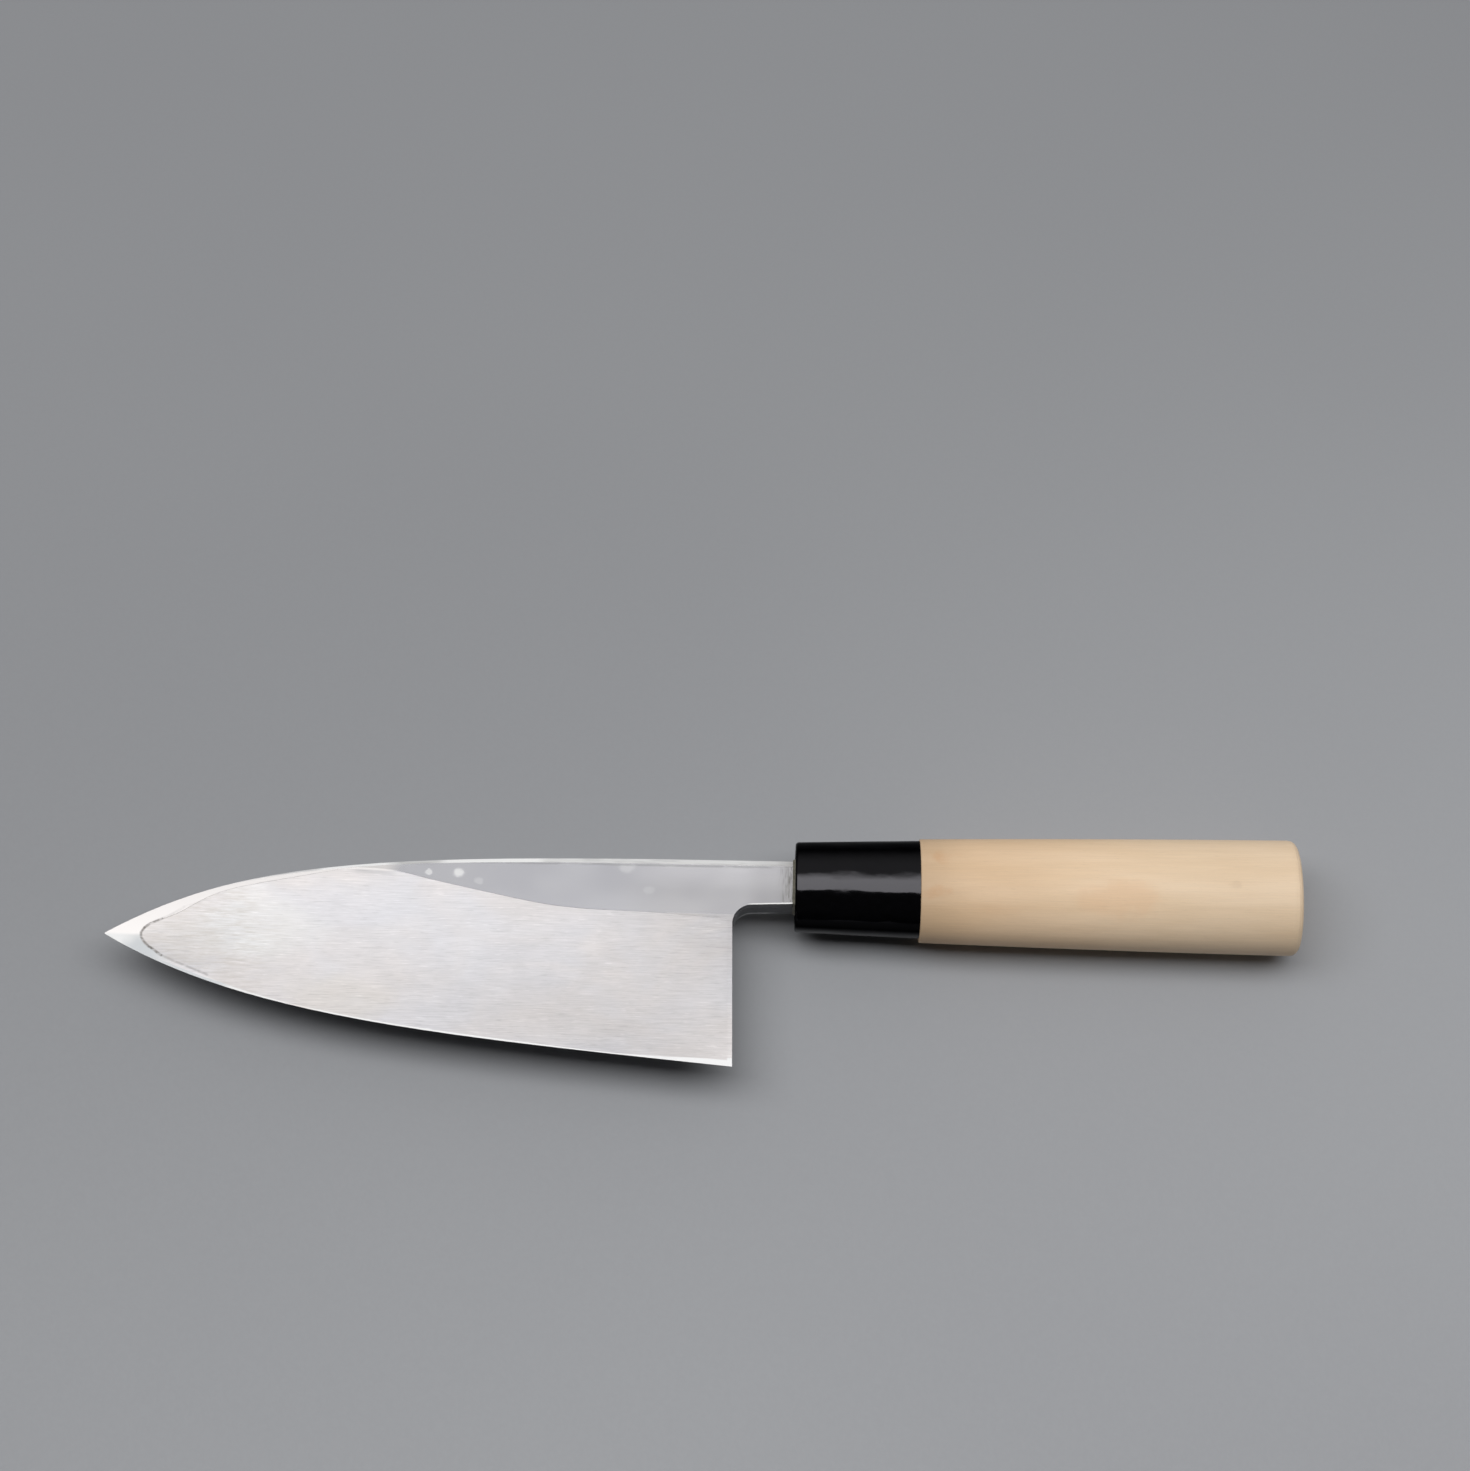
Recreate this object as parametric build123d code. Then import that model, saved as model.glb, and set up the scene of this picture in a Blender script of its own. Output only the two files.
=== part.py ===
from build123d import *
import os

# Right-handed deba knife: a single-bevel blade whose tang is set in an oval wooden handle.
# While it is modelled, +X runs from the tip to the butt, +Y from the edge to the spine, and
# +Z out of the hollow-ground face. X = 0 is the ferrule's mouth; Y = 0, Z = 0 is the handle's axis.

# Blade outline
blade_length = 161.8  # heel to tip along the axis, 165 in a straight line
heel_drop = 50.45  # axis to heel
tip_drop = 17.85  # axis to tip
tip_blunt = 0.6  # width left on the very tip
neck_length = 15.25  # ferrule mouth to heel
neck_height = 12.0
neck_flare = 0.6  # extra depth of the neck where it meets the blade
choil_lean = 0.9  # how far the wall above the heel leans to the tip
choil_radius = 5.2
edge_share = ((0.0, 0.0), (0.46, 0.209), (0.767, 0.332), (1.0, 1.0))  # of length, of rise from the heel
spine_share = ((0.0, 0.0), (0.598, 0.0), (0.80, 0.138), (1.0, 1.0))  # of length, of fall to the tip
tip_bulge_share = 0.4  # of the tip's blunt width

# Blade section
neck_thickness = 6.8
tip_thickness = 2.4
bevel_width = 21.0  # ground bevel at the heel, from its ridge to the edge
bevel_tip_width = 8.4
honed_width = 0.8  # fine bevel honed along the edge
honed_depth = 0.32
edge_land = 0.08  # thickness left at the cutting edge
spine_break = 1.6  # width of the bevel that breaks both corners of the spine
spine_break_depth = 0.55
spine_break_share = (1.0, 0.7, 0.1, -0.5)  # of that width from heel to tip, where it has run out

# Two steels, welded face to face
hard_steel_heel = 2.3  # thickness of the hard plate at the neck
hard_steel_tip = 1.2

# Hollow grind on the flat face
hollow_depth = 0.5
hollow_rim = 0.45  # flat left along the edge
hollow_heel_rim = 1.7  # flat left at the heel end of the edge
hollow_choil_rim = 1.3  # flat left along the wall above the heel
hollow_margin = 1.6  # how far the dished surface runs on past the hollow's outline
hollow_top_share = (  # of length from the heel, of height down from the spine
    (0.14, 0.266),
    (0.28, 0.246),
    (0.395, 0.185),
    (0.505, 0.115),
    (0.585, 0.072),
    (0.675, 0.108),
    (0.765, 0.162),
    (0.845, 0.237),
    (0.905, 0.338),
)
hollow_corner_share = 0.292  # height of its corner at the choil
hollow_front_share = (0.944, 0.418)
hollow_low_share = (  # where its lower side nears the front
    (0.818, 0.637),
    (0.85, 0.5965),
    (0.885, 0.553),
    (0.912, 0.511),
)
hollow_rim_share = (0.15, 0.3, 0.5, 0.7)  # places along the edge where its lower side runs beside it
hollow_dish_share = (  # of its length, of its full depth
    (-0.02, 0.15),
    (0.06, 0.7),
    (0.2, 1.0),
    (0.45, 1.0),
    (0.7, 0.8),
    (0.88, 0.45),
    (1.02, 0.15),
)

# Tang
tang_length = 88.0
tang_end_height = 5.4
tang_end_thickness = 3.2

# Handle
ferrule_length = 32.25
ferrule_front_height = 24.1
ferrule_front_thickness = 19.4
ferrule_rear_height = 26.1
ferrule_rear_thickness = 21.2
ferrule_wall = 2.0
ferrule_round = 0.8
round_facets = 4  # strips that make up each rounded edge of the handle
handle_length = 130.25  # ferrule mouth to butt
wood_front_height = 27.6
wood_front_thickness = 22.4
butt_height = 30.7
butt_thickness = 25.0
belly = 0.2  # swell of the wood at half its length
wood_drop = 0.35  # the wood sits this much lower than the ferrule
butt_round = 2.2
shoulder_round = 0.3
tenon_gap = 0.05  # between tenon and ferrule
tenon_inset = 0.4  # the tenon's end lies this far inside the mouth

# Resin
bedding_wall = 0.7  # resin round the tang
bead_proud = 0.6  # bead of sealing resin in front of the mouth
bead_foot = 0.55  # its width on the tenon's end
bead_lip = 0.12  # its width at its front

overrun = 6.0  # how far cutting shapes pass the solid that they cut

heel_x = -neck_length
tip_x = heel_x - blade_length
face_z = neck_thickness / 2
spine_y = neck_height / 2
heel_height = spine_y + heel_drop
choil_x = heel_x - choil_lean
neck_low_y = -neck_height / 2


def along(start, end, share):
    """The value that lies at a share of the way from start to end."""
    return start + (end - start) * share


def edge_points():
    """Control points of the cutting edge, from the heel to the tip."""
    rise = heel_drop - tip_drop - tip_blunt / 2
    return [Vector(heel_x - x * blade_length, y * rise - heel_drop) for x, y in edge_share]


def spine_points():
    """Control points of the spine, from above the heel to the tip."""
    fall = spine_y + tip_drop - tip_blunt / 2
    return [Vector(heel_x - x * blade_length, spine_y - y * fall) for x, y in spine_share]


def moved_in(points, widths):
    """A curve's control points moved towards the spine by one width each."""
    near = (points[1] - points[0]).normalized()
    far = (points[3] - points[2]).normalized()
    moved = []
    for point, way, width in zip(points, (near, near, far, far), widths):
        moved.append(Vector(point.X + way.Y * width, point.Y - way.X * width))
    return moved


def omote_z(x):
    """Height of the flat on the bevelled side, which nears the hollow-ground face at the tip."""
    return face_z - along(neck_thickness, tip_thickness, x / tip_x)


def blade_outline():
    """Outline of neck and blade on the hollow-ground face."""
    edge = edge_points()
    spine = spine_points()
    corner = (choil_x, neck_low_y - neck_flare)
    tip_mid = (tip_x - tip_blunt * tip_bulge_share, -tip_drop)
    lines = [
        FilletPolyline((0, neck_low_y), corner, edge[0], radius=choil_radius),
        Bezier(*edge),
        ThreePointArc(edge[3], tip_mid, spine[3]),
        Bezier(*spine),
        Line(spine[0], (0, spine_y)),
        Line((0, spine_y), (0, neck_low_y)),
    ]
    return make_face(Curve() + lines)


def side_slab(points):
    """A slab as wide as the blade needs, from its outline in X and Z."""
    outline = Plane.XZ * make_face(Polyline(*points, close=True))
    return extrude(outline, heel_height + overrun, both=True)


def curve_ring(points, start_x, far_y, height_at):
    """Closed outline of what lies on one side of a curve and its straight ends."""
    end = points[3] + (points[3] - points[2]).normalized() * overrun
    flat = [Vector(start_x, points[0].Y), *points, end, Vector(end.X, far_y), Vector(start_x, far_y)]
    solid = [Vector(p.X, p.Y, height_at(p.X)) for p in flat]
    return Wire([Line(solid[0], solid[1]), Bezier(*solid[1:5]), *Polyline(*solid[4:], solid[0]).edges()])


def bevel_cutter():
    """What is ground away on the bevelled side: the honed bevel, then the wide one up to its ridge."""
    edge = edge_points()
    slope = honed_depth / honed_width
    outer_z = face_z - edge_land + slope * honed_width
    honed_z = face_z - edge_land - honed_depth
    widths = [along(bevel_width, bevel_tip_width, x) for x, _ in edge_share]
    start_x = heel_x + overrun
    far_y = -heel_drop - overrun
    rings = [
        curve_ring(moved_in(edge, [-honed_width] * 4), start_x, far_y, lambda x: outer_z),
        curve_ring(moved_in(edge, [honed_width] * 4), start_x, far_y, lambda x: honed_z),
        curve_ring(moved_in(edge, widths), start_x, far_y, omote_z),
    ]
    return Solid.make_loft(rings, ruled=True)


def spine_cutter(corner_z, inward):
    """What breaks one corner of the spine, fading out towards the tip; inward is its face's side."""
    spine = spine_points()
    far_y = spine_y + 2 * overrun
    rings = []
    for side in (-1, 1):
        widths = [-(share + 2 * side) * spine_break for share in spine_break_share]
        lift = 2 * side * inward * spine_break_depth
        rings.append(curve_ring(moved_in(spine, widths), overrun, far_y, lambda x: corner_z(x) + lift))
    return Solid.make_loft(rings, ruled=True)


def blade_blank():
    """Blade and neck before the hollow grind: tapered to the tip and bevelled on one side."""
    blank = extrude(Pos(0, 0, face_z) * blade_outline(), -neck_thickness)
    below = -neck_thickness
    taper = [(0, omote_z(0)), (tip_x - overrun, omote_z(tip_x - overrun)), (tip_x - overrun, below), (0, below)]
    blank -= side_slab(taper)
    blank -= spine_cutter(lambda x: face_z, 1)
    blank -= spine_cutter(omote_z, -1)
    return blank - bevel_cutter()


def blade_point(share):
    """A point of the hollow's outline, from its shares of the blade's length and height."""
    return Vector(heel_x - share[0] * blade_length, spine_y - share[1] * heel_height)


def hollow_curves():
    """Upper and lower side of the hollow, from the choil to its round front."""
    front = blade_point(hollow_front_share)
    corner = Vector(choil_x - hollow_choil_rim, spine_y - hollow_corner_share * heel_height)
    top = [blade_point(share) for share in hollow_top_share]
    upper = Spline(corner, *top, front, tangents=(top[0] - corner, (0, -1)))
    edge = Bezier(*edge_points())
    heel = Vector(heel_x - hollow_choil_rim, hollow_heel_rim - heel_drop)
    beside = [edge @ share + Vector(0, hollow_rim) for share in hollow_rim_share]
    low = [blade_point(share) for share in hollow_low_share]
    lower = Spline(heel, *beside, *low, front, tangents=(edge % 0, (0, 1)))
    return upper, lower


def hollow_cutter():
    """The shallow dish of the hollow-ground face, kept inside its outline."""
    upper, lower = hollow_curves()
    outline = make_face(Curve() + [upper, lower, Line(upper @ 0, lower @ 0)])
    prism = extrude(Pos(0, 0, face_z - neck_thickness) * outline, neck_thickness + overrun)
    rings = []
    for share, depth in hollow_dish_share:
        inside = min(max(share, 0.0), 1.0)
        beyond_x = (inside - share) * blade_length
        high = upper @ inside + Vector(beyond_x, hollow_margin, face_z)
        low = lower @ inside + Vector(beyond_x, -hollow_margin, face_z)
        bottom = (high + low) / 2 - Vector(0, 0, depth * hollow_depth)
        lift = Vector(0, 0, overrun)
        sides = Polyline(low, low + lift, high + lift, high).edges()
        rings.append(Wire([ThreePointArc(high, bottom, low), *sides]))
    return prism & Solid.make_loft(rings)


def hard_plate_zone():
    """Everything above the weld between the two steels, as far as the bead at the ferrule's mouth."""
    end_x = -bead_proud
    far_x = tip_x - overrun
    end_z = face_z - along(hard_steel_heel, hard_steel_tip, end_x / tip_x)
    far_z = face_z - along(hard_steel_heel, hard_steel_tip, far_x / tip_x)
    top_z = face_z + overrun
    return side_slab([(end_x, end_z), (far_x, far_z), (far_x, top_z), (end_x, top_z)])


def tapered_bar(start_x, end_x, start_size, end_size):
    """A bar along the axis, from one rectangle to another."""
    start = Plane.YZ.offset(start_x) * Rectangle(*start_size)
    end = Plane.YZ.offset(end_x) * Rectangle(*end_size)
    return loft([start, end])


def tang_size(x):
    """Height and thickness of the tang at a place along the axis."""
    share = x / tang_length
    height = along(neck_height, tang_end_height, share)
    return height, along(neck_thickness, tang_end_thickness, share)


def tang():
    return tapered_bar(0, tang_length, tang_size(0), tang_size(tang_length))


def tang_socket():
    """The hole for the tang and the resin round it, open at the tenon's end."""
    end_x = tang_length + bedding_wall
    sizes = []
    for x in (tenon_inset, end_x):
        height, thickness = tang_size(x)
        sizes.append((height + 2 * bedding_wall, thickness + 2 * bedding_wall))
    return tapered_bar(tenon_inset, end_x, *sizes)


def oval(x, height, thickness, drop=0):
    """An oval section of the handle."""
    return Plane.YZ.offset(x) * Pos(-drop, 0) * Ellipse(height / 2, thickness / 2)


def ferrule_size(x, inset):
    """Height and thickness of the ferrule's oval at a place along it, drawn in by an inset."""
    share = x / ferrule_length
    height = along(ferrule_front_height, ferrule_rear_height, share)
    thickness = along(ferrule_front_thickness, ferrule_rear_thickness, share)
    return height - 2 * inset, thickness - 2 * inset


def rounding(radius):
    """Steps of a rounded edge: depth from the end and inset of the oval at that depth."""
    steps = []
    for facet in range(round_facets + 1):
        turned = Vector(radius, 0).rotate(Axis.Z, 90 * facet / round_facets)
        steps.append((radius - turned.Y, radius - turned.X))
    return steps


def ferrule():
    """Moulded sleeve over the tenon, with the rim at its mouth rounded."""
    front = [(depth, inset) for depth, inset in reversed(rounding(ferrule_round))]
    rings = [oval(x, *ferrule_size(x, inset)) for x, inset in [*front, (ferrule_length, 0)]]
    outer = loft(rings, ruled=True)
    bore = loft([oval(x, *ferrule_size(x, ferrule_wall)) for x in (-overrun, ferrule_length + overrun)])
    return outer - bore


def grip_end(x, inward, height, thickness, radius):
    """Rounded end of the grip; inward is the way along X into the wood."""
    rings = []
    for depth, inset in rounding(radius):
        place = x + inward * depth
        rings.append(oval(place, height - 2 * inset, thickness - 2 * inset, wood_drop))
    return loft(rings, ruled=True)


def handle():
    """Turned oval grip with its tenon and the socket for the tang."""
    front = ferrule_length + shoulder_round
    rear = handle_length - butt_round
    middle_height = (wood_front_height + butt_height) / 2 + 2 * belly
    middle_thickness = (wood_front_thickness + butt_thickness) / 2 + 2 * belly
    grip = loft(
        [
            oval(front, wood_front_height, wood_front_thickness, wood_drop),
            oval((front + rear) / 2, middle_height, middle_thickness, wood_drop),
            oval(rear, butt_height, butt_thickness, wood_drop),
        ]
    )
    grip += grip_end(ferrule_length, 1, wood_front_height, wood_front_thickness, shoulder_round)
    grip += grip_end(handle_length, -1, butt_height, butt_thickness, butt_round)
    tenon_skin = ferrule_wall + tenon_gap
    tenon = loft([oval(x, *ferrule_size(x, tenon_skin)) for x in (tenon_inset, ferrule_length)])
    return grip + tenon - tang_socket()


def mouth_seal(steel):
    """Bead of resin that closes the joint between neck and tenon."""
    foot = (neck_height + 2 * bead_foot, neck_thickness + 2 * bead_foot)
    lip = (neck_height + 2 * bead_lip, neck_thickness + 2 * bead_lip)
    return tapered_bar(tenon_inset, -bead_proud, foot, lip) - steel


def build():
    """All pieces by name, in the frame that they are modelled in."""
    blade = blade_blank() - hollow_cutter()
    zone = hard_plate_zone()
    hard = blade & zone
    body = blade - zone + tang()
    return {
        "edge_steel": hard,
        "blade_body": body,
        "mouth_seal": mouth_seal(hard + body),
        "tang_bedding": tang_socket() - tang(),
        "ferrule": ferrule(),
        "handle": handle(),
    }


def write(pieces):
    """Put the origin under the middle of the whole knife and write one file per piece."""
    os.makedirs("parts", exist_ok=True)
    box = Compound(list(pieces.values())).bounding_box()
    centre = box.center()
    to_origin = Pos(-centre.X, -centre.Y, -box.min.Z)
    for name, piece in pieces.items():
        export_step(to_origin * piece, f"parts/{name}.step")


write(build())
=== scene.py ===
import math

import bpy
from mathutils import Matrix, Vector


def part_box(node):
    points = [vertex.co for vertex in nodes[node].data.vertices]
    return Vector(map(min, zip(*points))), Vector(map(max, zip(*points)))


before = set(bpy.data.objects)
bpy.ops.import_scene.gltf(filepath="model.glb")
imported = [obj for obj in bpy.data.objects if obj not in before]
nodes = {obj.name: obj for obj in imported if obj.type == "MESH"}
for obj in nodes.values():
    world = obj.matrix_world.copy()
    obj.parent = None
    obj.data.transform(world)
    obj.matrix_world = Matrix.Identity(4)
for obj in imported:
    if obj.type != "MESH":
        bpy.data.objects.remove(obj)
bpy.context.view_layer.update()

# Lengths and places below are in millimetres, except the stage's
MM = 0.001

# The photograph's camera, solved in the knife's frame
PHOTO_SIZE = (1470, 1471)
FOCAL_PIXELS = 2850.2
SENSOR_WIDTH = 36
CAMERA_PLACE = Vector((14.395, -264.22, 699.93))
CAMERA_YAW = math.radians(1.3)
CAMERA_TILT = math.radians(25.33)  # from straight down
CAMERA_ROLL = math.radians(-0.084)

# The pieces' ends
SPINE_TOP, FACE_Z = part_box("edge_steel")[1].yz / MM
FERRULE_FRONT, FERRULE_REAR = (corner.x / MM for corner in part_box("ferrule"))
WOOD_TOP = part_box("handle")[1].z / MM
NECK_THICKNESS = 6.8
BLADE_TAPER = 0.0248  # thickness lost per length from the neck to the tip

# Ranges that hold most, and nearly all, of a noise
MIDDLE = (0.3, 0.7)
WIDE = (0.2, 0.8)


def camera_matrix():
    """Place and turn of the photograph's camera."""
    turn = Matrix.Rotation(CAMERA_YAW, 4, "Z") @ Matrix.Rotation(CAMERA_TILT, 4, "X")
    return Matrix.Translation(CAMERA_PLACE * MM) @ turn @ Matrix.Rotation(CAMERA_ROLL, 4, "Z")


def seen_at(pixel, height):
    """The point at a height above the floor that the photograph shows at a pixel."""
    across = (pixel[0] - PHOTO_SIZE[0] / 2) / FOCAL_PIXELS
    down = (pixel[1] - PHOTO_SIZE[1] / 2) / FOCAL_PIXELS
    ray = camera_matrix().to_3x3() @ Vector((across, -down, -1))
    return CAMERA_PLACE + ray * (height - CAMERA_PLACE.z) / ray.z


def on_face(pixel):
    """The point of the hollow-ground face that the photograph shows at a pixel."""
    return seen_at(pixel, FACE_Z)


def all_on_face(*pixels):
    """The same for several pixels."""
    return [on_face(pixel) for pixel in pixels]


def on_wood(pixel):
    """The point level with the wood's top that the photograph shows at a pixel."""
    return seen_at(pixel, WOOD_TOP)


class Paint:
    """The node tree of one material."""

    def __init__(self, name):
        self.material = bpy.data.materials.new(name)
        self.material.use_nodes = True
        self.tree = self.material.node_tree
        self.shader = self.tree.nodes["Principled BSDF"]
        metres = self.node("ShaderNodeTexCoord").outputs["Object"]
        self.place = self.scaled(metres, 1 / MM)
        split = self.node("ShaderNodeSeparateXYZ", Vector=self.place)
        self.x, self.y, self.z = split.outputs
        normal = self.node("ShaderNodeNewGeometry").outputs["Normal"]
        facing = self.node("ShaderNodeSeparateXYZ", Vector=normal)
        _, self.facing_y, self.facing_z = facing.outputs

    def node(self, kind, **inputs):
        """A new node, with its inputs linked or set."""
        made = self.tree.nodes.new(kind)
        for name, value in inputs.items():
            self.give(made.inputs[name.replace("_", " ")], value)
        return made

    def give(self, socket, value):
        """Link a socket to another one, or set it to a value."""
        if isinstance(value, bpy.types.NodeSocket):
            self.tree.links.new(value, socket)
        else:
            socket.default_value = value

    def math(self, operation, *values):
        """The result of an operation on numbers."""
        made = self.node("ShaderNodeMath")
        made.operation = operation
        for socket, value in zip(made.inputs, values):
            self.give(socket, value)
        return made.outputs[0]

    def vector(self, operation, *values):
        """The result of an operation on vectors or colours."""
        made = self.node("ShaderNodeVectorMath")
        made.operation = operation
        for socket, value in zip(made.inputs, values):
            self.give(socket, value)
        number = operation in ("LENGTH", "DOT_PRODUCT")
        return made.outputs["Value" if number else "Vector"]

    def scaled(self, vector, factor):
        """A vector or colour times a number."""
        made = self.node("ShaderNodeVectorMath")
        made.operation = "SCALE"
        self.give(made.inputs[0], vector)
        self.give(made.inputs["Scale"], factor)
        return made.outputs["Vector"]

    def ramp(self, value, start, end, low=0.0, high=1.0):
        """A smooth change from low to high while value goes from start to end."""
        made = self.node("ShaderNodeMapRange", Value=value)
        made.interpolation_type = "SMOOTHSTEP"
        if start > end:
            start, end, low, high = end, start, high, low
        made.inputs["From Min"].default_value = start
        made.inputs["From Max"].default_value = end
        made.inputs["To Min"].default_value = low
        made.inputs["To Max"].default_value = high
        return made.outputs["Result"]

    def band(self, value, rise, fall):
        """1 where value lies between a rise and a fall, which both take some room."""
        return self.times(self.ramp(value, *rise), self.ramp(value, *fall, 1.0, 0.0))

    def noise(self, size, seed, detail=2.0, roughness=0.5, bend=0.0):
        """Noise from 0 to 1 whose blobs have the given size along each axis."""
        shrunk = self.vector("DIVIDE", self.place, size)
        moved = self.vector("ADD", shrunk, (seed * 7.3, seed * 3.1, seed * 5.7))
        made = self.node("ShaderNodeTexNoise", Vector=moved, Scale=1.0, Detail=detail)
        made.inputs["Roughness"].default_value = roughness
        made.inputs["Distortion"].default_value = bend
        return made.outputs["Fac"]

    def mix(self, share, first, second):
        """A colour or number that goes from first to second."""
        colour = not isinstance(first, float) and not isinstance(second, float)
        made = self.node("ShaderNodeMix")
        made.data_type = "RGBA" if colour else "FLOAT"
        ends = [s for s in made.inputs if s.enabled]
        for socket, value in zip(ends, (share, first, second)):
            if colour and isinstance(value, tuple):
                value = (*value, 1.0)
            self.give(socket, value)
        return next(s for s in made.outputs if s.enabled)

    def times(self, *masks):
        """Several masks multiplied."""
        product = masks[0]
        for mask in masks[1:]:
            product = self.math("MULTIPLY", product, mask)
        return product

    def most(self, *masks):
        """The largest of several masks."""
        largest = masks[0]
        for mask in masks[1:]:
            largest = self.math("MAXIMUM", largest, mask)
        return largest

    def above(self, first, second):
        """How far this Y lies above the line through two points."""
        slope = (second.y - first.y) / (second.x - first.x)
        line = self.math("MULTIPLY_ADD", self.x, slope, first.y - slope * first.x)
        return self.math("SUBTRACT", self.y, line)

    def stroke(self, points, width):
        """1 along a broken line on the blade's face and 0 beyond half a width."""
        masks = []
        for first, second in zip(points, points[1:]):
            run = second - first
            away = self.vector("SUBTRACT", self.place, tuple(first))
            dot = self.vector("DOT_PRODUCT", away, tuple(run / run.length_squared))
            share = self.math("MINIMUM", self.math("MAXIMUM", dot, 0.0), 1.0)
            off = self.vector("SUBTRACT", away, self.scaled(tuple(run), share))
            masks.append(self.ramp(self.vector("LENGTH", off), width / 2, width / 8))
        return self.most(*masks)

    def near(self, point, radius, ragged=0.0, seed=0, stretch=(1.0, 1.0, 1.0)):
        """1 round a point and 0 beyond a radius, with a ragged border."""
        away = self.vector("SUBTRACT", self.place, tuple(point))
        distance = self.vector("LENGTH", self.vector("DIVIDE", away, stretch))
        if ragged:
            wander = self.noise((radius, radius, radius), seed, detail=3.0)
            shift = self.times(self.math("SUBTRACT", wander, 0.5), ragged)
            distance = self.math("ADD", distance, shift)
        return self.ramp(distance, radius, radius * 0.4)

    def bump(self, height, depth, under=None):
        """A normal from a height of 0 to 1 that stands for a depth."""
        made = self.node("ShaderNodeBump", Height=height)
        made.inputs["Distance"].default_value = depth * MM
        if under is not None:
            self.give(made.inputs["Normal"], under)
        return made.outputs["Normal"]

    def finish(self, colour, roughness, normal, **fixed):
        """Link the shader's inputs; fixed values go on its own sockets."""
        self.give(self.shader.inputs["Base Color"], colour)
        self.give(self.shader.inputs["Roughness"], roughness)
        self.give(self.shader.inputs["Normal"], normal)
        for name, value in fixed.items():
            self.shader.inputs[name.replace("_", " ")].default_value = value
        return self.material


# Both steels: walls that face the edge's side, and how much painted shade darkens them
WALL = (-0.5, -0.85)
WALL_PAINTED_SHADE = 0.35

# The hollow-ground face: landmarks, as the photograph shows them
TIP = on_face((104.5, 932.8))
HEEL = on_face((732.0, 1066.0))
SPINE_ABOVE_HEEL = on_face((732.0, 859.0))
HEEL_HIGH, HEEL_LOW = all_on_face((700, 930), (700, 1015))
HOLLOW_MEETS_SPINE = on_face((395, 864))
HOLLOW_FLARE = on_face((374, 868))
EDGE_FRONT = all_on_face((150.0, 957.9), (200.0, 977.8), (250.0, 993.8))
LAND_LOW_END = all_on_face((672.0, 912.7), (732.0, 914.6))
NECK_LOW = all_on_face((750.0, 904.6), (790.0, 903.8))

# Slopes of its level parts and of the spine's chamfer, as the Z of the normal
LEVEL = (0.955, 0.985)
CHAMFER = (0.80, 0.88)

# The hollow
HOLLOW_TONES = ((0.473, 0.465, 0.480), (0.492, 0.469, 0.465))
CLOUDS = (  # pixel, radius, strength, tone
    ((262, 925), 15.0, 0.6, (0.577, 0.577, 0.577)),
    ((246, 890), 6.0, 0.40, (0.615, 0.605, 0.595)),
    ((254, 943), 5.0, 0.5, (0.615, 0.615, 0.615)),
    ((432, 930), 20.0, 0.30, (0.505, 0.51, 0.54)),
    ((335, 1000), 12.0, 0.45, (0.53, 0.50, 0.468)),
    ((185, 938), 10.0, 0.30, (0.505, 0.477, 0.443)),
)
FIRST_CLOUD_SEED = 6
STAIN = on_face((205, 938))
STAIN_TONE = (0.42, 0.39, 0.36)
SCRATCHES = (
    ((372, 934), (386, 936)),
    ((403, 970), (419, 971.5)),
    ((352, 962), (366, 961)),
    ((430, 985), (452, 984)),
    ((300, 972), (331, 970)),
    ((322, 905), (343, 903)),
    ((520, 917), (548, 916)),
)
SCRATCH_WIDTH = 0.55
SCRATCH_TONE = (0.72, 0.72, 0.72)
# Painted shade on the hollow's flare up to the spine, as the share of colour left
FLARE_PAINTED_SHADE = 0.82

# The land between the hollow and the spine
LAND_TONES = ((0.382, 0.382, 0.405), (0.400, 0.400, 0.420))
LAND_REAR_TINT = (1.012, 1.0, 0.98)
LAND_LIGHTENS = all_on_face((600.0, 893.0), (685.0, 866.0))
LAND_MIDDLE = on_face((555, 885))
NECK_SHADE = 0.885
SPOTS = (  # pixel, radius, strength
    ((428.5, 871.7), 1.1, 0.6),
    ((458.6, 872.3), 1.6, 0.8),
    ((479.5, 880.3), 1.3, 0.22),
    ((627.0, 867.0), 2.2, 0.35),
    ((649.0, 890.0), 1.6, 0.15),
)
SMEAR_TONE = (0.68, 0.68, 0.68)
DARK_LINE_TONE = (0.28, 0.28, 0.29)
SEAL_SHADOW_TONE = (0.30, 0.29, 0.28)
SEAL_SCRATCH_TONE = (0.14, 0.135, 0.125)

# The rims along the edge and at the tip
LOW_RIM_TONES = ((0.54, 0.54, 0.54), (0.49, 0.49, 0.49))
HIGH_RIM_TONE = (0.625, 0.602, 0.593)
COOL_RIM = (((145, 952), 5.5), ((180, 966), 6.0), ((210, 978), 5.0))  # pixel, radius
COOL_RIM_TONE = (0.385, 0.397, 0.409)

# The spine's chamfer, with painted highlights on two stretches, and the painted highlight along
# the neck's low corner
CHAMFER_TONES = ((0.78, 0.78, 0.78), (0.95, 0.95, 0.945))
HIGHLIT_STRETCHES = (((315.0, 869.0), (396.0, 863.0)), ((438.0, 861.0), (548.0, 860.0)))
HIGHLIGHT_TONE = (0.97, 0.97, 0.965)
NECK_HIGHLIGHT_TONE = (0.74, 0.74, 0.73)
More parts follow.
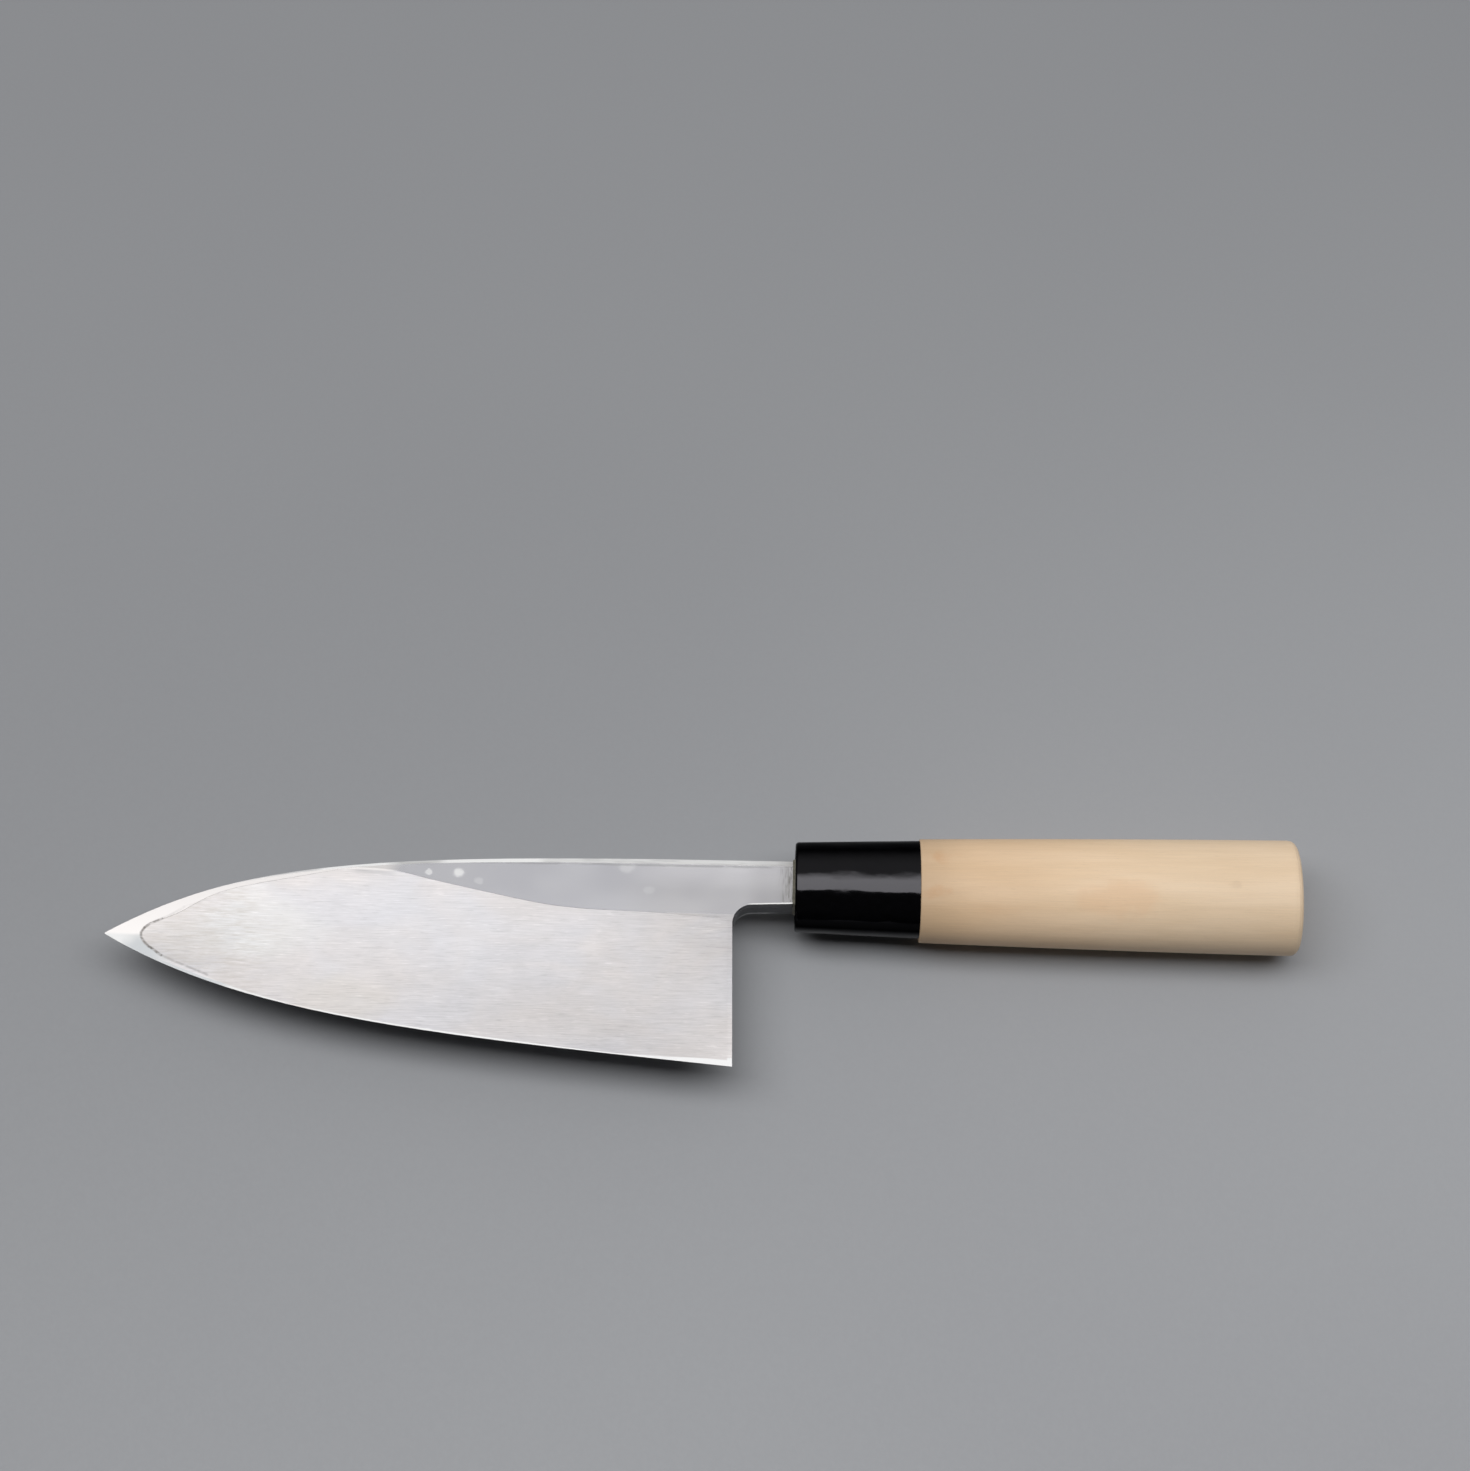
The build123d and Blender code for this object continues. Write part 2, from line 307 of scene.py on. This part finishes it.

# The painted shade along the crease at the hollow's front
CREASE = (  # pixels, how dark
    (((226, 891.5), (208, 898.5), (184, 907)), 0.08),
    (((184, 907), (172, 914), (162, 918.5)), 0.2),
    (((162, 918.5), (150, 923.5), (144.5, 927.5)), 0.65),
    (((144.5, 927.5), (141, 932), (141, 936.5), (144.5, 942), (149, 946.5)), 0.7),
    (((149, 946.5), (153, 949), (158, 953), (161, 955)), 0.95),
    (((161, 955), (175, 961.5), (190, 967.5), (207, 974.5)), 0.35),
)
CREASE_WIDTH = 1.0
CREASE_SHADE_TONE = (0.13, 0.12, 0.11)


def hollow_masks(p, level, spine_side):
    """The part that lies deeper than the face, and that part with its level borders."""
    depth = p.math("SUBTRACT", FACE_Z, p.z)
    dished = p.times(level, p.ramp(depth, 0.008, 0.03))
    choil_strip = p.times(
        p.ramp(p.x, LAND_LOW_END[0].x - 2, LAND_LOW_END[0].x),
        p.ramp(p.above(*LAND_LOW_END), 0.2, -0.2),
        p.ramp(p.y, HEEL.y + 1.9, HEEL.y + 2.3),
    )
    from_edge = p.math("MINIMUM", p.above(*EDGE_FRONT[:2]), p.above(*EDGE_FRONT[1:]))
    edge_strip = p.times(
        p.ramp(from_edge, 0.4, 0.75),
        p.band(p.x, (TIP.x + 12, TIP.x + 20), (TIP.x + 50, TIP.x + 60)),
        p.math("SUBTRACT", 1.0, spine_side),
    )
    return dished, p.most(dished, p.times(level, p.most(choil_strip, edge_strip)))


def grinding_lines(p, fine):
    """How bright the lengthwise lines in the hollow are, about 1."""
    long_lines = p.noise((16.0, 0.5, 1.0), 2, detail=3.0, roughness=0.6)
    marks = p.noise((4.0, 0.36, 1.0), 8, detail=1.5)
    bright = p.ramp(fine, 0.25, 0.75, 0.86, 1.11)
    bright = p.math("ADD", bright, p.ramp(long_lines, *MIDDLE, -0.02, 0.03))
    bright = p.math("SUBTRACT", bright, p.ramp(marks, 0.60, 0.72, 0.0, 0.11))
    return p.math("ADD", bright, p.ramp(marks, 0.37, 0.25, 0.0, 0.14))


def hollow_painted_shade(p):
    """The hollow's slow changes: painted shade that darkens it towards the rear and on its slope
    up to the land; at the heel, darker near the land and lighter below it.
    """
    along = p.ramp(p.x, HEEL.x - 120, HEEL.x + 15, 1.12, 0.90)
    at_heel = p.ramp(p.x, HEEL.x - 40, HEEL.x - 10)
    below_land = p.ramp(p.y, HEEL_HIGH.y, HEEL_LOW.y)
    heel = p.mix(at_heel, 1.0, p.mix(below_land, 0.955, 1.035))
    rise = p.ramp(p.facing_y, -0.07, -0.03, 0.84, 1.0)
    return p.times(along, heel, rise)


def hollow_colour(p, fine):
    """Lengthwise scratched steel, cloudy, with a warm stain near the tip."""
    cloud = p.noise((34.0, 22.0, 4.0), 3, detail=3.0, bend=0.6)
    patches = p.noise((10.0, 5.0, 4.0), 4, detail=4.0, roughness=0.6, bend=0.8)
    lines = grinding_lines(p, fine)
    # Grinding lines and patches, times the painted shade of the hollow's slow changes
    painted_shade_and_lines = p.times(lines, p.ramp(patches, *MIDDLE, 0.96, 1.03), hollow_painted_shade(p))
    colour = p.scaled(p.mix(p.ramp(cloud, 0.35, 0.65), *HOLLOW_TONES), painted_shade_and_lines)
    for seed, (pixel, radius, strength, tone) in enumerate(CLOUDS, FIRST_CLOUD_SEED):
        patch = p.near(on_face(pixel), radius, ragged=radius, seed=seed, stretch=(1.3, 0.8, 1.0))
        colour = p.mix(p.times(patch, strength), colour, p.scaled(tone, lines))
    streaky = p.ramp(p.noise((6.0, 0.7, 2.0), 9, detail=5.0, roughness=0.7), 0.4, 0.7)
    stain = p.times(p.near(STAIN, 26.0, ragged=24.0, seed=5), streaky)
    colour = p.mix(p.times(stain, 0.6), colour, STAIN_TONE)
    scratches = p.most(*[p.stroke(all_on_face(*ends), SCRATCH_WIDTH) for ends in SCRATCHES])
    return p.mix(p.times(scratches, p.ramp(fine, 0.3, 0.6), 0.5), colour, SCRATCH_TONE)


def land_shade(p, rear):
    """The land's slow changes: pale at the rear under the spine, and darker on the neck."""
    up = p.ramp(p.y, LAND_LIGHTENS[0].y, LAND_LIGHTENS[1].y)
    slow = p.mix(rear, p.mix(up, 0.925, 1.00), p.mix(up, 0.985, 1.35))
    middle = p.mix(p.near(LAND_MIDDLE, 30.0), 1.0, 1.10)
    neck = p.ramp(p.x, NECK_LOW[0].x - 3, NECK_LOW[0].x + 4, 1.0, NECK_SHADE)
    return p.times(slow, middle, neck)


def with_smears(p, colour):
    """Pale smears under the spine, a few pale spots and a thin dark line."""
    smear = p.noise((7.0, 1.2, 1.0), 6, detail=3.0, roughness=0.6)
    uneven = p.math("MULTIPLY_ADD", smear, 3.2, p.y)
    under_spine = p.ramp(uneven, SPINE_TOP - 0.4, SPINE_TOP + 0.5)
    colour = p.mix(p.times(under_spine, 0.5), colour, SMEAR_TONE)
    for seed, (pixel, radius, strength) in enumerate(SPOTS):
        spot = p.near(on_face(pixel), radius, ragged=1.2, seed=seed, stretch=(1.3, 1.0, 1.0))
        colour = p.mix(p.times(spot, strength), colour, SMEAR_TONE)
    line = p.band(p.y, (SPINE_TOP - 2.5, SPINE_TOP - 2.1), (SPINE_TOP - 1.8, SPINE_TOP - 1.5))
    return p.mix(p.times(line, p.ramp(smear, 0.35, 0.5), 0.5), colour, DARK_LINE_TONE)


def with_painted_shadow_and_marks_by_seal(p, colour):
    """A shadow and dark scratches across the neck in front of the seal."""
    scratched = p.noise((0.3, 4.0, 1.0), 10, detail=3.0, roughness=0.7)
    close = p.ramp(p.x, FERRULE_FRONT - 5.0, FERRULE_FRONT - 1.2)
    colour = p.mix(p.times(close, 0.35), colour, SEAL_SHADOW_TONE)
    return p.mix(p.times(close, p.ramp(scratched, 0.48, 0.62), 0.8), colour, SEAL_SCRATCH_TONE)


def land_colour(p, mottle):
    """Smooth cool grey, with its smears, spots and marks."""
    rear = p.ramp(p.x, LAND_LIGHTENS[0].x, LAND_LIGHTENS[1].x)
    colour = p.mix(p.ramp(mottle, *MIDDLE), *LAND_TONES)
    colour = p.scaled(colour, land_shade(p, rear))
    colour = p.vector("MULTIPLY", colour, p.mix(rear, (1.0, 1.0, 1.0), LAND_REAR_TINT))
    return with_painted_shadow_and_marks_by_seal(p, with_smears(p, colour))


def rim_colour(p, spine_side):
    """Bright at the tip's upper side, duller along the edge, with cool places near the tip."""
    low_rim = p.mix(p.ramp(p.x, TIP.x + 3, TIP.x + 9), *LOW_RIM_TONES)
    colour = p.mix(spine_side, low_rim, HIGH_RIM_TONE)
    for pixel, radius in COOL_RIM:
        cool = p.near(on_face(pixel), radius, ragged=3.0, seed=7, stretch=(1.5, 1.0, 1.0))
        colour = p.mix(cool, colour, COOL_RIM_TONE)
    return colour


def chamfer_colour(p, highlit, ends):
    """Almost white, whitest where highlights are painted on two stretches, and dull between
    them.
    """
    worn = p.noise((9.0, 1.0, 1.0), 7, detail=3.0, roughness=0.6)
    colour = p.mix(p.ramp(worn, 0.35, 0.6), *CHAMFER_TONES)
    to_neck = p.ramp(p.x, FERRULE_FRONT - 15, FERRULE_FRONT - 6, 1.0, 0.86)
    start, end = ends[0][1], ends[1][0]
    dull = p.band(p.x, (start - 1, start + 2), (end - 1, end + 2))
    colour = p.scaled(colour, p.times(to_neck, p.mix(dull, 1.0, 0.84)))
    return p.mix(highlit, colour, HIGHLIGHT_TONE)


def with_painted_crease_shade(p, colour):
    """The crease's painted shade, broken up by a noise."""
    broken = p.ramp(p.noise((1.5, 1.2, 1.0), 13, detail=2.0), 0.38, 0.56, 0.4, 1.0)
    for pixels, strength in CREASE:
        line = p.stroke(all_on_face(*pixels), CREASE_WIDTH)
        colour = p.mix(p.times(line, broken, strength), colour, CREASE_SHADE_TONE)
    return colour


def with_neck_highlight(p, level, colour):
    """The painted highlight along the neck's low corner."""
    corner = p.ramp(p.above(*NECK_LOW), 0.5, 0.15)
    behind_choil = p.ramp(p.x, NECK_LOW[0].x - 1, NECK_LOW[0].x + 1)
    return p.mix(p.times(level, corner, behind_choil), colour, NECK_HIGHLIGHT_TONE)


def steel_face():
    """Hard steel: the scratched hollow, the smoother land above it and the bright rims."""
    p = Paint("steel_hollow_ground")
    level = p.ramp(p.facing_z, *LEVEL)
    chamfer = p.band(p.facing_z, CHAMFER, LEVEL)
    spine_side = p.ramp(p.above(TIP, (HEEL + SPINE_ABOVE_HEEL) / 2), -0.5, 0.5)
    meets_x = HOLLOW_MEETS_SPINE.x
    land = p.times(spine_side, p.ramp(p.x, meets_x - 3, meets_x + 2.5))
    dished, hollow = hollow_masks(p, level, spine_side)
    # Painted highlights on two stretches of the spine's chamfer
    ends = [[point.x for point in all_on_face(*stretch)] for stretch in HIGHLIT_STRETCHES]
    highlit = p.most(*[p.band(p.x, (a, a + 3), (b - 3, b)) for a, b in ends])
    fine = p.noise((6.0, 0.12, 1.0), 1, detail=4.0, roughness=0.65)
    mottle = p.noise((16.0, 9.0, 3.0), 5, detail=1.0)

    colour = p.mix(land, rim_colour(p, spine_side), land_colour(p, mottle))
    colour = p.mix(hollow, colour, hollow_colour(p, fine))
    # Painted shade where the hollow flares up to the spine
    flare = p.near(HOLLOW_FLARE, 7.5, stretch=(1.2, 0.32, 1.0))
    colour = p.scaled(colour, p.mix(flare, 1.0, FLARE_PAINTED_SHADE))
    colour = p.mix(chamfer, colour, chamfer_colour(p, highlit, ends))
    colour = with_neck_highlight(p, level, with_painted_crease_shade(p, colour))
    # Painted shade on the walls that face the edge's side
    colour = p.scaled(colour, p.mix(p.ramp(p.facing_y, *WALL), 1.0, WALL_PAINTED_SHADE))

    rough_level = p.mix(land, 0.32, p.ramp(mottle, *MIDDLE, 0.24, 0.27))
    rough = p.mix(hollow, rough_level, p.ramp(fine, *WIDE, 0.36, 0.48))
    # Metallic except on the chamfer, which is barely metallic and not at all under its painted
    # highlights
    p.give(p.shader.inputs["Metallic"], p.mix(chamfer, 1.0, p.mix(highlit, 0.3, 0.0)))
    return p.finish(colour, p.mix(chamfer, rough, 0.5), p.bump(p.times(fine, dished), 0.006))


# The bevelled side
IRON_FLAT_TONES = ((0.36, 0.36, 0.37), (0.41, 0.405, 0.40))
IRON_BEVEL_TONES = ((0.27, 0.275, 0.285), (0.33, 0.33, 0.335))
GLINT_TONE = (0.6, 0.6, 0.6)


def neck_glint(p, wall):
    """The light that the neck's lower corner catches in front of the ferrule."""
    up_from_taper = p.math("MULTIPLY_ADD", p.x, BLADE_TAPER, p.z)
    corner = FACE_Z - NECK_THICKNESS + BLADE_TAPER * FERRULE_FRONT
    low = p.ramp(up_from_taper, corner + 1.0, corner + 0.5)
    return p.times(wall, low, p.ramp(p.x, FERRULE_FRONT - 3, FERRULE_FRONT - 8))


def soft_iron():
    """Soft iron: satin flat and neck, and a hazier ground bevel."""
    p = Paint("iron_satin")
    fine = p.noise((7.0, 0.12, 0.12), 11, detail=4.0, roughness=0.6)
    haze = p.ramp(p.noise((9.0, 3.0, 3.0), 12, detail=4.0, roughness=0.6), *MIDDLE)
    bevel = p.ramp(p.facing_y, -0.08, -0.16)
    wall = p.ramp(p.facing_y, *WALL)
    colour = p.mix(bevel, p.mix(haze, *IRON_FLAT_TONES), p.mix(haze, *IRON_BEVEL_TONES))
    colour = p.scaled(colour, p.ramp(fine, *WIDE, 0.92, 1.08))
    # Painted shade on the walls that face the edge's side
    colour = p.scaled(colour, p.mix(wall, 1.0, WALL_PAINTED_SHADE))
    colour = p.mix(p.times(neck_glint(p, wall), 0.7), colour, GLINT_TONE)
    rough = p.mix(bevel, p.ramp(fine, *WIDE, 0.24, 0.34), p.mix(haze, 0.26, 0.36))
    return p.finish(colour, rough, p.bump(fine, 0.005), Metallic=1.0)


# The ferrule
BLACK_TONES = ((0.0003, 0.0003, 0.0005), (0.0008, 0.0008, 0.0012))
BLACK_TINT = (0.95, 0.93, 1.0, 1.0)
PLAIN_GLOSS = 0.48
GRAZING_GLOSS = 0.01
LOW_SIDE_GLOSS = 0.2  # share of that left on the side towards the edge
LOWEST_GLOSS = 0.18


def ferrule_gloss(p):
    """Gloss cut down towards grazing angles and on the low side, which paints shade there."""
    layer = p.node("ShaderNodeLayerWeight", Blend=0.5)
    gloss = p.ramp(layer.outputs["Facing"], 0.12, 0.42, PLAIN_GLOSS, GRAZING_GLOSS)
    low_side = p.ramp(p.facing_y, -0.78, -0.86)
    lowest = p.times(p.ramp(p.facing_z, 0.30, 0.0), low_side)
    gloss = p.times(gloss, p.mix(low_side, 1.0, LOW_SIDE_GLOSS))
    return p.mix(lowest, gloss, LOWEST_GLOSS)


def ferrule_plastic():
    """Black polished plastic, not quite true, with fine marks of use."""
    p = Paint("plastic_black")
    wave = p.noise((11.0, 5.0, 5.0), 21, detail=1.0)
    small = p.noise((2.5, 1.6, 1.6), 22, detail=2.0)
    marks = p.noise((0.5, 0.08, 0.08), 23, detail=3.0)
    colour = p.mix(p.ramp(small, *MIDDLE), *BLACK_TONES)
    rough = p.mix(p.ramp(marks, 0.55, 0.7), 0.09, 0.17)
    normal = p.bump(small, 0.012, p.bump(wave, 0.25))
    # Specular level from the gloss, which paints shade on the low side and at grazing angles
    p.give(p.shader.inputs["Specular IOR Level"], ferrule_gloss(p))
    return p.finish(colour, rough, normal, IOR=1.5, Specular_Tint=BLACK_TINT)


# The wood
WOOD_TONES = ((0.825, 0.605, 0.395), (0.875, 0.655, 0.445))
LATE_WOOD_TONE = (0.70, 0.47, 0.28)
PITH = (0.0, -38.0, 60.0)  # on the line that the year rings go round
WOOD_PATCHES = (  # pixel, radius, strength
    ((941, 850), 3.6, 0.55),
    ((938, 891), 3.2, 0.5),
    ((1125, 899), 7.0, 0.32),
    ((990, 915), 6.0, 0.15),
)
WOOD_PATCH_TONE = (0.80, 0.48, 0.26)
WOOD_SPOT = on_wood((1236, 885))
WOOD_SPOT_TONE = (0.52, 0.36, 0.22)
WOOD_FRONT_TINT = (0.89, 0.855, 0.815)
WOOD_REAR_TINT = (1.085, 1.125, 1.17)


def late_wood(p):
    """The darker end of each year ring."""
    wander = p.noise((55.0, 9.0, 9.0), 31, detail=2.0)
    across = p.vector("MULTIPLY", p.vector("SUBTRACT", p.place, PITH), (0.0, 1.0, 1.0))
    rings = p.math("MULTIPLY", p.vector("LENGTH", across), 0.45)
    years = p.math("FRACT", p.math("MULTIPLY_ADD", wander, 3.0, rings))
    return p.band(years, (0.45, 0.95), (0.95, 1.0))


def wood_along(p, colour):
    """The wood's slow change from warm at the ferrule to pale at the butt."""
    rear = p.ramp(p.x, FERRULE_REAR + 2, FERRULE_REAR + 75)
    colour = p.vector("MULTIPLY", colour, p.mix(rear, WOOD_FRONT_TINT, WOOD_REAR_TINT))
    near_ferrule = p.ramp(p.x, FERRULE_REAR - 2, FERRULE_REAR + 16, 0.90, 1.08)
    towards_butt = p.ramp(p.x, FERRULE_REAR + 30, FERRULE_REAR + 80, 1.0, 0.90)
    return p.scaled(colour, p.times(near_ferrule, towards_butt))


def pale_wood():
    """Straight-grained pale wood, with pores, darker patches and one fleck."""
    p = Paint("wood_pale")
    fibre = p.noise((22.0, 0.22, 0.22), 32, detail=4.0, roughness=0.6)
    pores = p.noise((2.6, 0.10, 0.10), 33, detail=1.0)
    broad = p.noise((34.0, 7.0, 7.0), 34, detail=2.0)
    colour = p.mix(p.ramp(broad, *MIDDLE), *WOOD_TONES)
    colour = p.mix(p.times(late_wood(p), 0.08), colour, LATE_WOOD_TONE)
    for seed, (pixel, radius, strength) in enumerate(WOOD_PATCHES):
        patch = p.near(on_wood(pixel), radius, ragged=radius, seed=seed, stretch=(2.0, 1.0, 1.0))
        colour = p.mix(p.times(patch, strength), colour, WOOD_PATCH_TONE)
    grain = p.times(p.ramp(fibre, *WIDE, 0.955, 1.035), p.ramp(pores, 0.62, 0.78, 1.0, 0.9))
    colour = wood_along(p, p.scaled(colour, grain))
    spot = p.near(WOOD_SPOT, 1.5, ragged=1.6, seed=3, stretch=(1.6, 1.0, 1.0))
    colour = p.mix(p.times(spot, 0.16), colour, WOOD_SPOT_TONE)
    normal = p.bump(pores, 0.03, p.bump(fibre, 0.02))
    return p.finish(colour, p.ramp(fibre, *WIDE, 0.5, 0.62), normal, IOR=1.45)


# The two resins and the floor
SEAL_TONES = ((0.11, 0.105, 0.075), (0.20, 0.19, 0.145))
BEDDING_TONES = ((0.34, 0.25, 0.13), (0.45, 0.35, 0.2))
FLOOR_TONES = ((0.325, 0.332, 0.350), (0.339, 0.347, 0.364))
# Painted light on the floor, lightening it towards the near right
FLOOR_PAINTED_LIGHT_REACH = 190.0  # how far from the middle its tone stops changing


def seal_resin():
    """Olive-grey sealing resin, uneven and a little shiny."""
    p = Paint("resin_seal")
    lumps = p.noise((1.2, 0.8, 0.8), 41, detail=3.0)
    grain = p.noise((0.2, 0.2, 0.2), 42, detail=2.0)
    colour = p.mix(p.ramp(lumps, *MIDDLE), *SEAL_TONES)
    return p.finish(colour, p.ramp(grain, *MIDDLE, 0.4, 0.6), p.bump(lumps, 0.12))


def bedding_resin():
    """Amber resin inside the handle."""
    p = Paint("resin_bedding")
    lumps = p.noise((3.0, 2.0, 2.0), 51, detail=3.0)
    colour = p.mix(p.ramp(lumps, *MIDDLE), *BEDDING_TONES)
    return p.finish(colour, p.ramp(lumps, *MIDDLE, 0.45, 0.6), p.bump(lumps, 0.1))


def floor_card():
    """Plain grey sheet, with painted light that makes it a little lighter towards the near
    right.
    """
    p = Paint("card_grey")
    tone = p.noise((260.0, 260.0, 260.0), 61, detail=2.0)
    tooth = p.noise((0.8, 0.8, 0.8), 62, detail=2.0)
    # Painted light: the sheet grows lighter towards the near right
    slope = p.math("MULTIPLY_ADD", p.x, 0.5, p.math("MULTIPLY", p.y, -1.0))
    lighter = p.ramp(slope, -FLOOR_PAINTED_LIGHT_REACH, FLOOR_PAINTED_LIGHT_REACH, 0.92, 1.16)
    colour = p.scaled(p.mix(p.ramp(tone, *MIDDLE), *FLOOR_TONES), lighter)
    return p.finish(colour, p.ramp(tooth, *MIDDLE, 0.62, 0.72), p.bump(tooth, 0.02))


def dress(node, material):
    """Give a piece its material."""
    for slot in nodes[node].material_slots:
        slot.material = material


dress("edge_steel", steel_face())
dress("blade_body", soft_iron())
dress("ferrule", ferrule_plastic())
dress("handle", pale_wood())
dress("mouth_seal", seal_resin())
dress("tang_bedding", bedding_resin())


# The stage, in metres
FLOOR_REACH = 4.0

# One large soft light overhead, reaching further behind the knife than in front
LIGHT_HEIGHT = 1.3
LIGHT_LENGTH = 2.6
LIGHT_NEAR = math.radians(-12.5)  # from straight up, seen from the knife
LIGHT_FAR = math.radians(24)
LIGHT_FADE = 0.35  # share of its width over which it fades out on the far side
LIGHT_TURN = math.radians(-4)
LIGHT_RADIANCE = 3.2

# Dim surroundings; the ranges are in the Y and Z of the direction looked in
ROOM_BEHIND = 0.32
ROOM_FRONT = 0.03
ROOM_TURNS = (-0.3, 0.4)
ROOM_HORIZON = 0.3  # share of the light that is left at the horizon
ROOM_FULL = 0.65


def make_floor():
    """A wide floor under the knife."""
    mesh = bpy.data.meshes.new("floor")
    signs = ((-1, -1), (1, -1), (1, 1), (-1, 1))
    corners = [(x * FLOOR_REACH, y * FLOOR_REACH, 0) for x, y in signs]
    mesh.from_pydata(corners, [], [(0, 1, 2, 3)])
    mesh.materials.append(floor_card())
    floor = bpy.data.objects.new("floor", mesh)
    bpy.context.scene.collection.objects.link(floor)


def fade_out(tree):
    """Let the light fade out on its far side."""
    spot = tree.nodes.new("ShaderNodeNewGeometry")
    split = tree.nodes.new("ShaderNodeSeparateXYZ")
    fade = tree.nodes.new("ShaderNodeMapRange")
    fade.inputs["From Min"].default_value = 1.0
    fade.inputs["From Max"].default_value = 1.0 - LIGHT_FADE
    tree.links.new(spot.outputs["Parametric"], split.inputs[0])
    tree.links.new(split.outputs["Y"], fade.inputs["Value"])
    tree.links.new(fade.outputs["Result"], tree.nodes["Emission"].inputs["Strength"])


def make_light():
    """The soft light over the knife."""
    near = math.tan(LIGHT_NEAR) * LIGHT_HEIGHT
    far = math.tan(LIGHT_FAR) * LIGHT_HEIGHT
    data = bpy.data.lights.new("softbox", "AREA")
    data.shape = "RECTANGLE"
    data.size = LIGHT_LENGTH
    data.size_y = far - near
    data.energy = LIGHT_RADIANCE * math.pi * data.size * data.size_y
    data.use_nodes = True
    fade_out(data.node_tree)
    light = bpy.data.objects.new("softbox", data)
    light.location = (0, (near + far) / 2, LIGHT_HEIGHT)
    light.rotation_euler = (0, 0, LIGHT_TURN)
    bpy.context.scene.collection.objects.link(light)


def room_ramp(tree, value, start, end, low, high):
    """A smooth change from low to high while value goes from start to end."""
    made = tree.nodes.new("ShaderNodeMapRange")
    made.interpolation_type = "SMOOTHSTEP"
    made.inputs["From Min"].default_value = start
    made.inputs["From Max"].default_value = end
    made.inputs["To Min"].default_value = low
    made.inputs["To Max"].default_value = high
    tree.links.new(value, made.inputs["Value"])
    return made.outputs["Result"]


def make_room():
    """Dim surroundings, lighter behind the knife than in front of it."""
    world = bpy.data.worlds.new("room")
    world.use_nodes = True
    tree = world.node_tree
    spot = tree.nodes.new("ShaderNodeTexCoord")
    split = tree.nodes.new("ShaderNodeSeparateXYZ")
    tree.links.new(spot.outputs["Generated"], split.inputs[0])
    product = tree.nodes.new("ShaderNodeMath")
    product.operation = "MULTIPLY"
    behind = room_ramp(tree, split.outputs["Y"], *ROOM_TURNS, ROOM_FRONT, ROOM_BEHIND)
    height = room_ramp(tree, split.outputs["Z"], 0.0, ROOM_FULL, ROOM_HORIZON, 1.0)
    tree.links.new(behind, product.inputs[0])
    tree.links.new(height, product.inputs[1])
    background = tree.nodes["Background"]
    tree.links.new(product.outputs[0], background.inputs["Strength"])
    background.inputs["Color"].default_value = (1, 1, 1, 1)
    bpy.context.scene.world = world


def make_camera():
    """The photograph's camera."""
    data = bpy.data.cameras.new("camera")
    data.sensor_width = SENSOR_WIDTH
    data.lens = FOCAL_PIXELS * SENSOR_WIDTH / max(PHOTO_SIZE)
    camera = bpy.data.objects.new("camera", data)
    bpy.context.scene.collection.objects.link(camera)
    camera.matrix_world = camera_matrix()
    bpy.context.scene.camera = camera


make_floor()
make_light()
make_room()
make_camera()
bpy.context.scene.view_settings.view_transform = "Standard"
